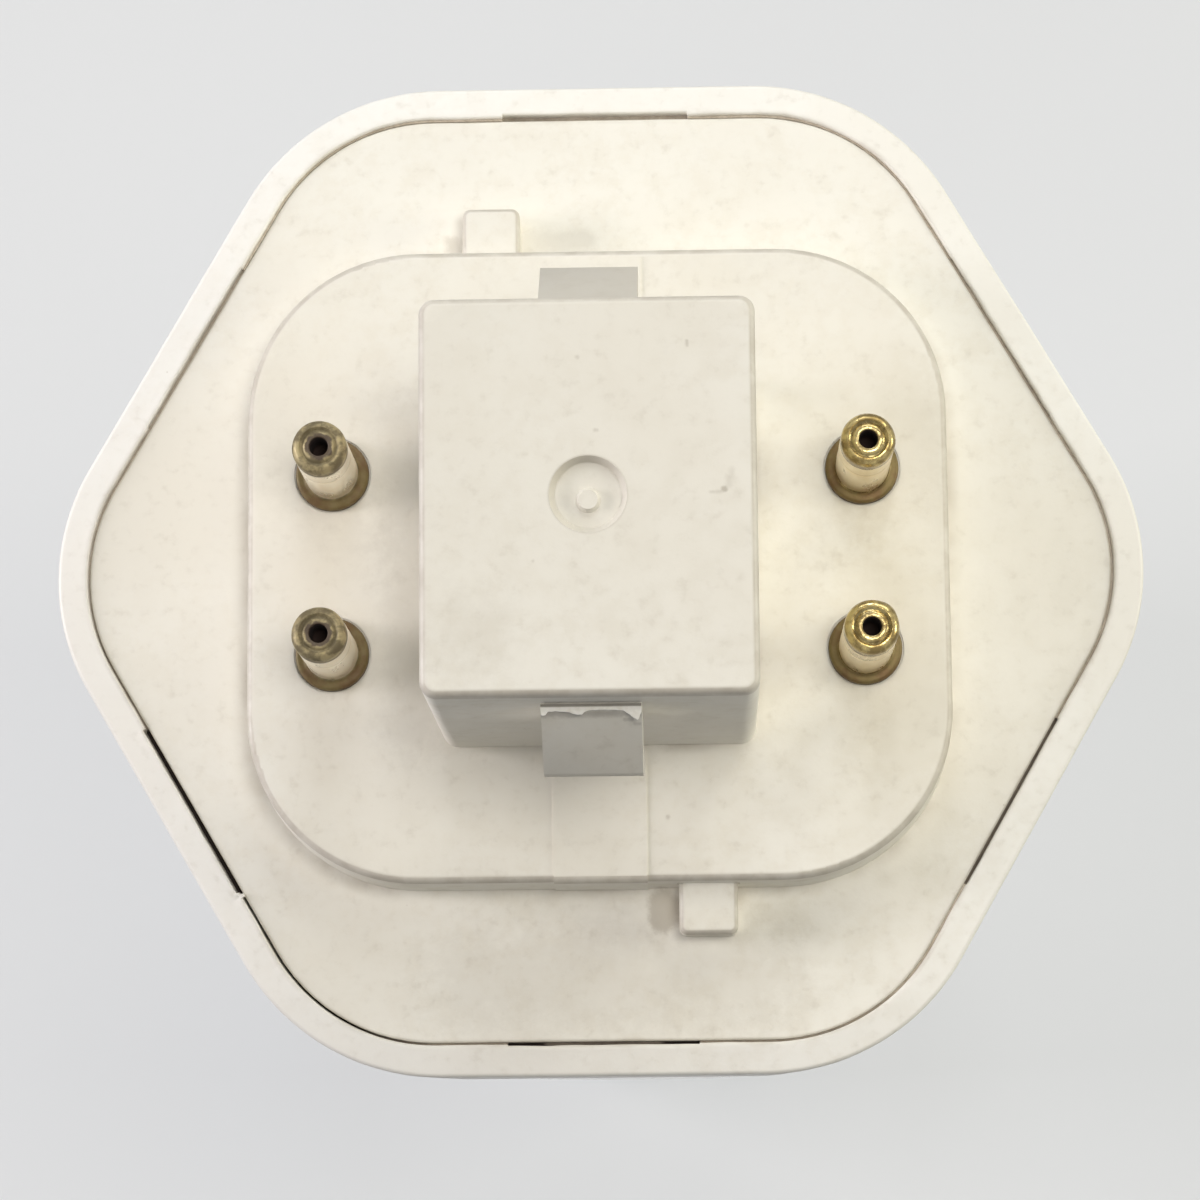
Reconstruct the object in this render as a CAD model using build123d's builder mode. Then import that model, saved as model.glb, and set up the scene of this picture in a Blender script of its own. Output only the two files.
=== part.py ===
"""Four-pin compact fluorescent bulb with a hexagonal housing, in millimetres.

The frame: +Z runs along the bulb's axis, from the glass towards the pins. The origin is at the middle
of the four pins, on the platform that seats against the lamp holder. +X is across the post, from the
left pair of pins to the right pair, and +Y is towards the side of the post whose key is on the left.
"""

from build123d import *
import os
from math import atan2, cos, degrees, radians, sin, tan

os.makedirs("parts", exist_ok=True)

# Housing: a hexagonal cup, open towards the pins, with draft towards the glass
rim_z = -2.6
housing_foot_z = -26.0
housing_half = 21.78
housing_corner = 9.8
housing_draft = 1.6
rim_round = 0.2
foot_round = 2.2
rim_wall = 1.36
tube_plate_thickness = 2.0
cavity_corner = 8.0
seat_rib_length = 7.5
seat_rib_width = 1.0
seat_rib_depth = 1.1
seat_rib_offset = 6.2

# Cap plate and the platform on it
seam_gap = 0.14
plate_z = -2.8
plate_thickness = 2.0
plate_edge_round = 0.12
platform_length = 30.28
platform_width = 27.58
platform_corner = 7.4
platform_draft = 2.5
platform_edge_round = 0.35
platform_wall = 2.0

# Post
post_length = 13.3
post_width = 15.85
post_height = 16.0
post_corner = 0.7
post_draft = 0.3
post_edge_round = 0.32
post_wall = 1.5
dimple_radius = 1.52
dimple_depth = 0.3
dimple_edge = 0.22
pip_radius = 0.5
pip_height = 0.22
pip_y = -0.2

# Latches, one on each long side of the post
latch_width = 3.95
latch_top_z = 13.8
latch_top_reach = 0.2
latch_lip_reach = 2.36
latch_lip_top_z = 10.7
latch_lip_foot_z = 9.6
latch_hook_z = 10.0
latch_root = 7.1

# Strips that the mould's slides leave on the platform, in line with the latches. The one at +Y ends
# before the platform's edge.
witness_height = 0.06
witness_end_y = 13.3

# Coding keys beside the platform
key_x = 4.55
key_width = 2.5
key_reach = 15.88
key_top_z = -1.1
key_corner = 0.35
key_edge_round = 0.25

# Contact pins: studs on a rectangle inside a 24 mm pin circle
pin_spacing_x = 22.7
pin_spacing_y = 7.8
pin_height = 6.5
pin_radius = 1.15
pin_tip_length = 2.3
pin_line_depth = 0.06
pin_line_width = 0.12
pin_tip_round = 0.42
pin_tip_hole_radius = 0.42
pin_tip_hole_depth = 1.7
pin_groove_outer_radius = 0.84
pin_groove_inner_radius = 0.6
pin_groove_depth = 0.1
flange_radius = 1.575
flange_height = 0.45
flange_seat_depth = 0.1
flange_seat_radius = 1.66
flange_round = 0.16
pin_tail_radius = 0.98
pin_hole_radius = 1.01
pin_bore_radius = 0.55
pin_bore_top_z = 1.0
boss_radius = 2.4
boss_foot_z = -6.0
rivet_radius = 1.6
rivet_height = 0.35

# Snap hooks of the cap, and the housing's grooves and pockets that take them
hook_count = 6
hook_width = 7.0
hook_slot_width = 8.2
hook_groove_depth = 0.13
hook_groove_foot_z = -8.0
hook_pocket_top_z = -9.1
hook_pocket_foot_z = -12.9
hook_pocket_reach = 20.95
arm_outer = 19.98
arm_thickness = 1.1
arm_foot_z = -12.5
hook_top_z = -9.3
hook_reach = 20.72
hook_land = 0.6
hook_lead_in = 0.15

# Glass: six legs on a circle, joined in pairs by U-bends with flattened ends
leg_count = 6
leg_radius = 6.1
leg_circle_radius = 14.5
leg_top_z = -14.0
leg_top_round = 3.0
glass_foot_z = -112.0
bend_radius = 6.3
bend_flat_depth = 0.45
bridge_radius = 3.5
bridge_z = -31.5
seal_length = 9.0
seal_width = 2.6
seal_height = 4.5
seal_root = 3.0
exhaust_tip_radius = 1.5
exhaust_tip_height = 3.2
tube_hole_clearance = 0.3

# Cement round the legs, on the tube plate
cement_depth = 5.0
cement_clearance = 0.05
cement_leg_clearance = 0.02

# Lead wires
wire_radius = 0.25
wire_half_gap = 1.2
wire_level_z = -8.0
wire_bend_radius = 0.8

# Values worked out from the dimensions above
cavity_half = housing_half - rim_wall
plate_half = cavity_half - seam_gap
plate_corner = cavity_corner - seam_gap
plate_foot_z = plate_z - plate_thickness
tube_plate_top_z = housing_foot_z + tube_plate_thickness
post_half_width = post_width / 2
seal_top_z = leg_top_z + seal_height
exhaust_tip_top_z = leg_top_z + exhaust_tip_height
bend_axis_z = glass_foot_z + leg_radius - bend_flat_depth
key_root_y = platform_width / 2 - platform_wall / 2
key_middle_y = (key_reach + key_root_y) / 2
key_length = key_reach - key_root_y
dimple_taper = degrees(atan2(dimple_edge, dimple_depth))
pip_taper = degrees(atan2(pip_radius / 4, pip_height))
pin_groove_middle_radius = (pin_groove_inner_radius + pin_groove_outer_radius) / 2
pin_tip_foot_z = pin_height - pin_tip_length
pin_places = [
    (column * pin_spacing_x / 2, row * pin_spacing_y / 2) for row in (1, -1) for column in (-1, 1)
]
side_angles = [30 + 60 * side for side in range(hook_count)]
leg_angles = [60 * leg for leg in range(leg_count)]
leg_places = [
    (leg_circle_radius * cos(radians(angle)), leg_circle_radius * sin(radians(angle)))
    for angle in leg_angles
]

cement_half = cavity_half - (rim_z - tube_plate_top_z) * tan(radians(housing_draft)) - cement_clearance
cement_corner = cavity_corner - (cavity_half - cement_half)

# The discharge runs from leg 2 at 120 degrees, leg by leg, round to leg 1 at 60 degrees
bend_pairs = [(2, 3), (4, 5), (0, 1)]
bridge_pairs = [(3, 4), (5, 0)]
electrode_legs = [1, 2]
exhaust_legs = [0, 3, 4, 5]


def cavity_half_at(z):
    """Half the housing's inner width across flats, at height z."""
    return cavity_half - (rim_z - z) * tan(radians(housing_draft))


def side_plane(angle, z=0.0):
    """Upright plane through the axis: local x runs outwards at that angle, local y is up."""
    outwards = (cos(radians(angle)), sin(radians(angle)), 0)
    across = (sin(radians(angle)), -cos(radians(angle)), 0)
    return Plane(origin=(0, 0, z), x_dir=outwards, z_dir=across)


def beyond_keys(edge):
    """Is this edge at the outer end of a key?"""
    return abs(edge.center().Y) > key_reach - 0.01 and edge.center().Z < 0


def beyond_platform(edge):
    """Is this edge outside the platform's sides?"""
    return abs(edge.center().Y) > platform_width / 2 + 0.1


def upright_plane(x, y):
    """Plane like XZ, through the upright line at x, y."""
    return Plane(origin=(x, y, 0), x_dir=(1, 0, 0), z_dir=(0, -1, 0))


def hexagon(sketch, half, corner):
    """Hexagon with two corners on the X axis, half wide across its flats, its corners rounded."""
    RegularPolygon(radius=half, side_count=6, major_radius=False)
    fillet(sketch.vertices(), corner)


# Housing: tapered shell, floor at the glass end
with BuildPart() as housing:
    with BuildSketch(Plane.XY.offset(rim_z)) as rim_outline:
        hexagon(rim_outline, housing_half, housing_corner)
    extrude(amount=housing_foot_z - rim_z, taper=housing_draft)
    fillet(housing.faces().sort_by(Axis.Z)[-1].edges(), rim_round)
    fillet(housing.faces().sort_by(Axis.Z)[0].edges(), foot_round)
    with BuildSketch(Plane.XY.offset(rim_z)) as cavity_outline:
        hexagon(cavity_outline, cavity_half, cavity_corner)
    extrude(amount=tube_plate_top_z - rim_z, taper=housing_draft, mode=Mode.SUBTRACT)
    # Ribs that carry the cap's plate, two on each side
    rib_inner = cavity_half_at(plate_foot_z) - seat_rib_depth
    rib_outer = cavity_half_at(plate_foot_z) + rim_wall / 2
    rib_foot_z = plate_foot_z - seat_rib_length
    for angle in side_angles:
        for offset in (-seat_rib_offset, seat_rib_offset):
            with BuildSketch(side_plane(angle).offset(offset)):
                with BuildLine():
                    Polyline(
                        (rib_inner, plate_foot_z),
                        (rib_outer, plate_foot_z),
                        (rib_outer, rib_foot_z),
                        (rib_inner + seat_rib_depth / 2, rib_foot_z),
                        close=True,
                    )
                make_face()
            extrude(amount=seat_rib_width / 2, both=True)
    # Groove that lets each snap hook in from the rim, and the pocket that it springs into
    for angle in side_angles:
        with BuildSketch(side_plane(angle)):
            with BuildLine():
                Polyline(
                    (cavity_half - rim_wall, rim_z),
                    (cavity_half + hook_groove_depth, rim_z),
                    (cavity_half_at(hook_groove_foot_z) + hook_groove_depth, hook_groove_foot_z),
                    (cavity_half - rim_wall, hook_groove_foot_z),
                    close=True,
                )
            make_face()
            with BuildLine():
                Polyline(
                    (cavity_half - rim_wall, hook_pocket_top_z),
                    (hook_pocket_reach, hook_pocket_top_z),
                    (hook_pocket_reach, hook_pocket_foot_z + hook_groove_depth),
                    (cavity_half - rim_wall, hook_pocket_foot_z),
                    close=True,
                )
            make_face()
        extrude(amount=hook_slot_width / 2, both=True, mode=Mode.SUBTRACT)
    # Leg holes through the tube plate
    with BuildSketch(Plane.XY.offset(housing_foot_z)):
        with PolarLocations(leg_circle_radius, leg_count):
            Circle(leg_radius + tube_hole_clearance)
    extrude(amount=tube_plate_thickness, mode=Mode.SUBTRACT)
housing.part.label = "housing"
export_step(housing.part, "parts/housing.step")

# Skin of the platform, a little proud, from which the slides' strips are cut
with BuildPart() as witness:
    with BuildSketch(Plane.XY.offset(plate_z)):
        RectangleRounded(
            platform_length + 2 * witness_height,
            platform_width + 2 * witness_height,
            platform_corner + witness_height,
        )
    extrude(amount=witness_height - plate_z, taper=platform_draft)
    fillet(witness.faces().sort_by(Axis.Z)[-1].edges(), platform_edge_round)
    with BuildSketch(Plane.XY.offset(plate_z)):
        with Locations((0, (witness_end_y - platform_width) / 2)):
            Rectangle(latch_width, witness_end_y + platform_width)
    extrude(amount=2 * (witness_height - plate_z), mode=Mode.INTERSECT)

# Cap: plate, platform, post, latches and keys in one moulding, hollow from behind
with BuildPart() as cap:
    with BuildSketch(Plane.XY.offset(plate_z)) as plate_outline:
        hexagon(plate_outline, plate_half, plate_corner)
    extrude(amount=-plate_thickness)
    fillet(cap.faces().sort_by(Axis.Z)[-1].edges(), plate_edge_round)
    # Platform
    with BuildSketch(Plane.XY.offset(plate_z)):
        RectangleRounded(platform_length, platform_width, platform_corner)
    extrude(amount=-plate_z, taper=platform_draft)
    fillet(cap.faces().sort_by(Axis.Z)[-1].edges(), platform_edge_round)
    add(witness.part)
    # Post
    with BuildSketch(Plane.XY):
        RectangleRounded(post_length, post_width, post_corner)
    extrude(amount=post_height, taper=post_draft)
    fillet(cap.faces().sort_by(Axis.Z)[-1].edges(), post_edge_round)
    # Latches: a ledge below the post's end, a long ramp, an upright lip and a hooked underside
    for side in (-1, 1):
        with BuildSketch(Plane.YZ):
            with BuildLine():
                Polyline(
                    (side * latch_root, latch_top_z),
                    (side * (post_half_width + latch_top_reach), latch_top_z),
                    (side * (post_half_width + latch_lip_reach), latch_lip_top_z),
                    (side * (post_half_width + latch_lip_reach), latch_lip_foot_z),
                    (side * latch_root, latch_hook_z),
                    close=True,
                )
            make_face()
        extrude(amount=latch_width / 2, both=True)
    # Keys
    with BuildSketch(Plane.XY.offset(plate_z)):
        with Locations((-key_x, key_middle_y), (key_x, -key_middle_y)):
            Rectangle(key_width, key_length)
    extrude(amount=key_top_z - plate_z)
    key_corners = cap.edges().filter_by(Axis.Z).filter_by(lambda edge: beyond_keys(edge))
    fillet(key_corners, key_corner)
    key_tops = cap.edges().filter_by_position(Axis.Z, key_top_z - 0.01, key_top_z + 0.01)
    fillet(key_tops.filter_by(lambda edge: beyond_platform(edge)), key_edge_round)
    # Dimple in the post's end, with the gate's pip in it
    with BuildSketch(Plane.XY.offset(post_height)):
        Circle(dimple_radius)
    extrude(amount=-dimple_depth, taper=dimple_taper, mode=Mode.SUBTRACT)
    with BuildSketch(Plane.XY.offset(post_height - dimple_depth)):
        with Locations((0, pip_y)):
            Circle(pip_radius)
    extrude(amount=pip_height, taper=pip_taper)
    # Hollow of the platform, and of the post above it, both open to the glass side
    with BuildSketch(Plane.XY.offset(plate_foot_z)):
        RectangleRounded(
            platform_length - 2 * platform_wall,
            platform_width - 2 * platform_wall,
            platform_corner - platform_wall,
        )
    extrude(amount=-platform_wall - plate_foot_z, mode=Mode.SUBTRACT)
    with BuildSketch(Plane.XY.offset(-platform_wall)):
        Rectangle(post_length - 2 * post_wall, post_width - 2 * post_wall)
    extrude(amount=post_height - post_wall + platform_wall, taper=post_draft, mode=Mode.SUBTRACT)
    # Bosses behind the pins, drilled through, with a shallow seat for each flange
    with BuildSketch(Plane.XY.offset(boss_foot_z)):
        with Locations(*pin_places):
            Circle(boss_radius)
    extrude(amount=-platform_wall - boss_foot_z)
    with BuildSketch(Plane.XY.offset(boss_foot_z)):
        with Locations(*pin_places):
            Circle(pin_hole_radius)
    extrude(amount=-boss_foot_z, mode=Mode.SUBTRACT)
    with BuildSketch(Plane.XY):
        with Locations(*pin_places):
            Circle(flange_seat_radius)
    extrude(amount=-flange_seat_depth, mode=Mode.SUBTRACT)
    # Snap hooks: one springy arm at the middle of each side
    for angle in side_angles:
        with BuildSketch(side_plane(angle)):
            with BuildLine():
                Polyline(
                    (arm_outer - arm_thickness, plate_foot_z + plate_thickness / 4),
                    (arm_outer, plate_foot_z + plate_thickness / 4),
                    (arm_outer, hook_top_z),
                    (hook_reach, hook_top_z),
                    (hook_reach, hook_top_z - hook_land),
                    (arm_outer - hook_lead_in, arm_foot_z),
                    (arm_outer - arm_thickness, arm_foot_z),
                    close=True,
                )
            make_face()
        extrude(amount=hook_width / 2, both=True)
cap.part.label = "cap"
export_step(cap.part, "parts/cap.step")

# Contact pins: a flanged brass tube, its tip rolled in round a hole and marked off by a fine line,
# its tail riveted behind the boss.
# The lead wire is soldered in, and the solder closes the bore along the shank.
for number, (x, y) in enumerate(pin_places, start=1):
    with BuildPart() as contact_pin:
        with BuildSketch(upright_plane(x, y)):
            with BuildLine():
                Polyline(
                    (0, pin_height - pin_tip_hole_depth),
                    (pin_tip_hole_radius, pin_height - pin_tip_hole_depth),
                    (pin_tip_hole_radius, pin_height),
                    (pin_groove_inner_radius, pin_height),
                    (pin_groove_middle_radius, pin_height - pin_groove_depth),
                    (pin_groove_outer_radius, pin_height),
                )
                EllipticalCenterArc(
                    (pin_groove_outer_radius, pin_height - pin_tip_round),
                    pin_radius - pin_groove_outer_radius,
                    pin_tip_round,
                    start_angle=0,
                    arc_size=90,
                )
                Polyline(
                    (pin_radius, pin_height - pin_tip_round),
                    (pin_radius, pin_tip_foot_z + pin_line_width / 2),
                    (pin_radius - pin_line_depth, pin_tip_foot_z),
                    (pin_radius, pin_tip_foot_z - pin_line_width / 2),
                    (pin_radius, flange_height),
                    (flange_radius - flange_round, flange_height),
                )
                RadiusArc(
                    (flange_radius - flange_round, flange_height),
                    (flange_radius, flange_height - flange_round),
                    flange_round,
                )
                Polyline(
                    (flange_radius, flange_height - flange_round),
                    (flange_radius, -flange_seat_depth),
                    (pin_tail_radius, -flange_seat_depth),
                    (pin_tail_radius, boss_foot_z),
                    (rivet_radius, boss_foot_z),
                    (rivet_radius - rivet_height / 2, boss_foot_z - rivet_height),
                    (pin_bore_radius, boss_foot_z - rivet_height),
                    (pin_bore_radius, pin_bore_top_z),
                    (0, pin_bore_top_z),
                    (0, pin_height - pin_tip_hole_depth),
                )
            make_face()
        revolve(axis=Axis((x, y, 0), (0, 0, 1)))
    contact_pin.part.label = f"contact_pin_{number}"
    export_step(contact_pin.part, f"parts/contact_pin_{number}.step")

# Discharge tube: sealed, coated glass
with BuildPart() as discharge_tube:
    # Three U-bends, each with two legs
    for first, second in bend_pairs:
        first_x, first_y = leg_places[first]
        second_x, second_y = leg_places[second]
        with BuildLine() as bend_line:
            FilletPolyline(
                (first_x, first_y, leg_top_z),
                (first_x, first_y, bend_axis_z),
                (second_x, second_y, bend_axis_z),
                (second_x, second_y, leg_top_z),
                radius=bend_radius,
            )
        with BuildSketch(Plane(origin=(first_x, first_y, leg_top_z), z_dir=(0, 0, -1))):
            Circle(leg_radius)
        sweep(path=bend_line.line)
    fillet(discharge_tube.edges().group_by(Axis.Z)[-1], leg_top_round)
    # The ends of the bends are pressed flat
    with BuildSketch(Plane.XY.offset(glass_foot_z)):
        Circle(leg_circle_radius + 2 * leg_radius)
    extrude(amount=-leg_radius, mode=Mode.SUBTRACT)
    # Bridges that join the U-bends into one discharge path
    for first, second in bridge_pairs:
        first_x, first_y = leg_places[first]
        second_x, second_y = leg_places[second]
        bridge_run = (second_x - first_x, second_y - first_y, 0)
        with BuildSketch(Plane(origin=(first_x, first_y, bridge_z), z_dir=bridge_run)):
            Circle(bridge_radius)
        extrude(amount=leg_circle_radius)
    # Flat pinch seals on the two legs that hold the electrodes
    with BuildSketch(Plane.XY.offset(leg_top_z - seal_root)):
        with Locations(*[leg_places[leg] for leg in electrode_legs]):
            RectangleRounded(seal_length, seal_width, seal_width / 2.5)
    extrude(amount=seal_height + seal_root)
    # Sealed-off exhaust tips on the other legs
    with BuildSketch(Plane.XY.offset(leg_top_z - seal_root)):
        with Locations(*[leg_places[leg] for leg in exhaust_legs]):
            Circle(exhaust_tip_radius)
    extrude(amount=exhaust_tip_height + seal_root)
    tip_rims = discharge_tube.edges().filter_by_position(
        Axis.Z, exhaust_tip_top_z - 0.01, exhaust_tip_top_z + 0.01
    )
    fillet(tip_rims, exhaust_tip_radius / 2)
discharge_tube.part.label = "discharge_tube"
export_step(discharge_tube.part, "parts/discharge_tube.step")

# Cement: one layer on the tube plate, round all six legs
with BuildPart() as tube_cement:
    with BuildSketch(Plane.XY.offset(tube_plate_top_z)) as cement_outline:
        hexagon(cement_outline, cement_half, cement_corner)
        with PolarLocations(leg_circle_radius, leg_count):
            Circle(leg_radius + cement_leg_clearance, mode=Mode.SUBTRACT)
    extrude(amount=cement_depth)
tube_cement.part.label = "tube_cement"
export_step(tube_cement.part, "parts/tube_cement.step")

# Lead wires: up out of a seal, level across to a pin, then up its bore to the solder
for number, (pin_x, pin_y) in enumerate(pin_places, start=1):
    side = 1 if pin_x > 0 else -1
    seal_x = side * (leg_circle_radius / 2 + (wire_half_gap if pin_y > 0 else -wire_half_gap))
    seal_y = leg_places[electrode_legs[0]][1]
    with BuildPart() as lead_wire:
        with BuildLine() as wire_line:
            FilletPolyline(
                (seal_x, seal_y, seal_top_z),
                (seal_x, seal_y, wire_level_z),
                (pin_x, pin_y, wire_level_z),
                (pin_x, pin_y, pin_bore_top_z),
                radius=wire_bend_radius,
            )
        with BuildSketch(Plane(origin=(seal_x, seal_y, seal_top_z), z_dir=(0, 0, 1))):
            Circle(wire_radius)
        sweep(path=wire_line.line)
    lead_wire.part.label = f"lead_wire_{number}"
    export_step(lead_wire.part, f"parts/lead_wire_{number}.step")
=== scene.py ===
"""Looks of the four-pin compact fluorescent bulb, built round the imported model.

Lengths here are metres, in the model's own frame: +Z from the glass towards the pins, the origin in
the middle of the pins on the platform. Values in millimetres are multiplied by MM.
"""

import math

import bmesh
import bpy
from mathutils import Matrix, Vector, noise


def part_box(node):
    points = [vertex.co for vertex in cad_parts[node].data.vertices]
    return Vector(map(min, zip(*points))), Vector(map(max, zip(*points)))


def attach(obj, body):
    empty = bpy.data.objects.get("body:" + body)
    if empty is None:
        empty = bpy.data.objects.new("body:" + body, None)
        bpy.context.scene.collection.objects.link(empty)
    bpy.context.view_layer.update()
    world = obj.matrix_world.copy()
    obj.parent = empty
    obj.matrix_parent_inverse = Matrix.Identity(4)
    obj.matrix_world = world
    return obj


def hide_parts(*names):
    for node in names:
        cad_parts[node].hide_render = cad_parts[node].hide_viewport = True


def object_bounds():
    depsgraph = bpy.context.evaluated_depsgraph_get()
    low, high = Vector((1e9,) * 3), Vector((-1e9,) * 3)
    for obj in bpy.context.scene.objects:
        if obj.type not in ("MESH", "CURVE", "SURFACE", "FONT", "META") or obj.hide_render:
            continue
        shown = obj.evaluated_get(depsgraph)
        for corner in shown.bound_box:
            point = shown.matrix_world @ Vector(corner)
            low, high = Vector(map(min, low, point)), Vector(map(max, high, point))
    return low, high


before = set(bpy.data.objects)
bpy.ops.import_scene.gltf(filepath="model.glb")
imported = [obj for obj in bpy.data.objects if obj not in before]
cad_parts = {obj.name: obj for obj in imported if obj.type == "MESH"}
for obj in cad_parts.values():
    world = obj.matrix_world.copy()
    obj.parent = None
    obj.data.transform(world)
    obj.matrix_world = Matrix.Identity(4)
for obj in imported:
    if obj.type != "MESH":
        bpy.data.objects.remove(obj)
cad_low, cad_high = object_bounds()

MM = 0.001
BODY = "root"

# Camera: the photograph's place and lens, worked out from the pins, the post and the hexagon
CAMERA_PLACE = Vector((3.625, -27.176, 163.839)) * MM
CAMERA_AIM = Vector((0.086, -1.668, 0.0)) * MM
CAMERA_UP = Vector((0.01297, 0.98806, 0.15355))
CAMERA_LENS = 116.566
CAMERA_SENSOR = 36.0

# Sizes in millimetres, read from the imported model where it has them
housing_low, housing_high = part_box("housing")
RIM_Z = housing_high.z / MM
HOUSING_FOOT_Z = housing_low.z / MM
RIM_HALF = housing_high.y / MM
RIM_CORNER = 9.8
RIM_INNER_HALF = RIM_HALF - 1.36
RIM_INNER_CORNER = 8.0
RIM_ROUND = 0.2
SEAM_ROUND = 0.1
RIM_FALL = 0.12
FOOT_ROUND = 2.2
DRAFT = math.tan(math.radians(1.6))
TUBE_PLATE_Z = HOUSING_FOOT_Z + 2.0
SEAM_GAP = 0.14
SEAM_HALF = RIM_INNER_HALF - SEAM_GAP / 2
SEAM_CORNER = RIM_INNER_CORNER - SEAM_GAP / 2
PLATE_HALF = RIM_INNER_HALF - SEAM_GAP
PLATE_HEX_CORNER = RIM_INNER_CORNER - SEAM_GAP
SLOT_HALF = 4.1
SLOT_DEPTHS = (0.03, 0.12, 0.05, 0.13, 0.05, 0.04)
SEAM_PLAY = 0.012
SEAM_OUTLINE_Z = -2.9
SEAM_LEAN = 0.03
SEAM_DIRT_FOOT_Z = -4.2
SEAM_FOOT_SHRINK = 0.998
SEAM_LEVELS = (
    # By side: before its slot, in it and after it
    (-2.93, -2.98, -2.9),
    (-2.87, -3.12, -2.84),
    (-2.87, -3.04, -2.98),
    (-3.14, -3.68, -3.95),
    (-3.13, -3.34, -3.12),
    (-2.92, -3.3, -3.0),
)
SLOT_END_LEVEL = -3.8
SLOT_END_SIDE = 4
SLOT_END_START = 2.9
BURR_SIDE = 3
BURR_START = 4.23
BURR_END = 4.39
BURR_FOOT_Z = -2.98
OUTER_EDGE_REACH = 21.4
WAVE = 0.02
WAVE_INSET = 0.025
RAGGED = 0.035
RAGGED_DEPTH = 1.2
RAGGED_OUTSIDE = 0.3
RIM_DIP = 0.03
RIM_DIP_DEPTH = 0.4
# Cavity
SLOT_FOOT_Z = -8.0
POCKET_TOP_Z = -9.1
POCKET_FOOT_Z = -12.9
POCKET_REACH = 20.95
RIB_MIDDLE = 6.2
RIB_HALF = 0.5
RIB_PROUD = 1.1
RIB_TAPER = 0.55
RIB_TOP_Z = -4.8
RIB_FOOT_Z = -12.3
LEG_CIRCLE = 14.5
LEG_HOLE = 6.4
CORNER_STEPS = 20
HOLE_STEPS = 64
PIN_STEPS = 96
# Cap
PLATFORM_HALF = (15.14, 13.79)
PLATFORM_CORNER = 7.4
PLATE_Z = -2.8
POST_HALF = (6.65, 7.925)
POST_TOP_Z = 16.0
POST_CORNER = 0.7
KEY_TOP_Z = -1.1
KEY_CENTRES = ((-4.55, 14.2), (4.55, -14.2))
KEY_HALF = (1.25, 1.68)
KEY_CORNER = 0.35
# Lower latch
LATCH_LEDGE_Z = 13.8
FLASH_ROOT_Y = -7.9
FLASH_BEND_Y = -8.08
FLASH_FOLD = 8.14
FLASH_LEAST = 8.13
FLASH_STEPS = 5
FLASH_COURSE = (
    # Place across the latch, and how far the flash reaches towards -Y there
    (-1.98, 8.14), (-1.96, 8.34), (-1.88, 8.38), (-1.78, 8.34), (-1.7, 8.22), (-1.45, 8.19),
    (-1.2, 8.21), (-0.85, 8.24), (-0.7, 8.31), (-0.5, 8.35), (-0.36, 8.34), (-0.28, 8.25),
    (-0.1, 8.17), (0.3, 8.16), (0.9, 8.17), (1.25, 8.19), (1.36, 8.27), (1.5, 8.37),
    (1.66, 8.49), (1.8, 8.58), (1.86, 8.54), (1.89, 8.4), (1.97, 8.2),
)
# Glass: where use has greyed it
USED_Z = (-40.0, -27.0)
USED_Y = (4.0, 11.0)
# Pins
PIN_PLACES = ((-11.35, 3.9), (11.35, 3.9), (-11.35, -3.9), (11.35, -3.9))
PIN_TOP_Z = 6.5
PIN_RADIUS = 1.15
TIP_ROUND_START = 0.84
TIP_ROUND = 0.31
TIP_ROUND_DROP = 0.41
BORE_RADIUS = 0.55
TAIL_RADIUS = 0.98
BUMPED_PIN = 4
BUMP_LOW_Z = 4.7
BUMP_HIGH_Z = 6.46
BUMP_HEIGHT = 0.09
BUMP_BEARING = 48
PIN_LINE_Z = 4.2
PIN_HOLE_RADIUS = 0.39
HOLE_EDGE = (PIN_HOLE_RADIUS + 0.02, PIN_HOLE_RADIUS + 0.06)
SHANK_FOOT = (0.68, 0.86)
SHANK_TOP = (5.65, 5.9)
UNDER_TIP_Z = 5.95


def aimed(place, aim, up):
    """Matrix of something at place that looks at aim, with its top towards up."""
    back = (place - aim).normalized()
    right = up.cross(back).normalized()
    top = back.cross(right)
    turn = Matrix((right, top, back)).transposed().to_4x4()
    return Matrix.Translation(place) @ turn


def placed(name, data):
    """A new object with that data, in the scene."""
    thing = bpy.data.objects.new(name, data)
    bpy.context.scene.collection.objects.link(thing)
    return thing


# Materials

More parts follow.
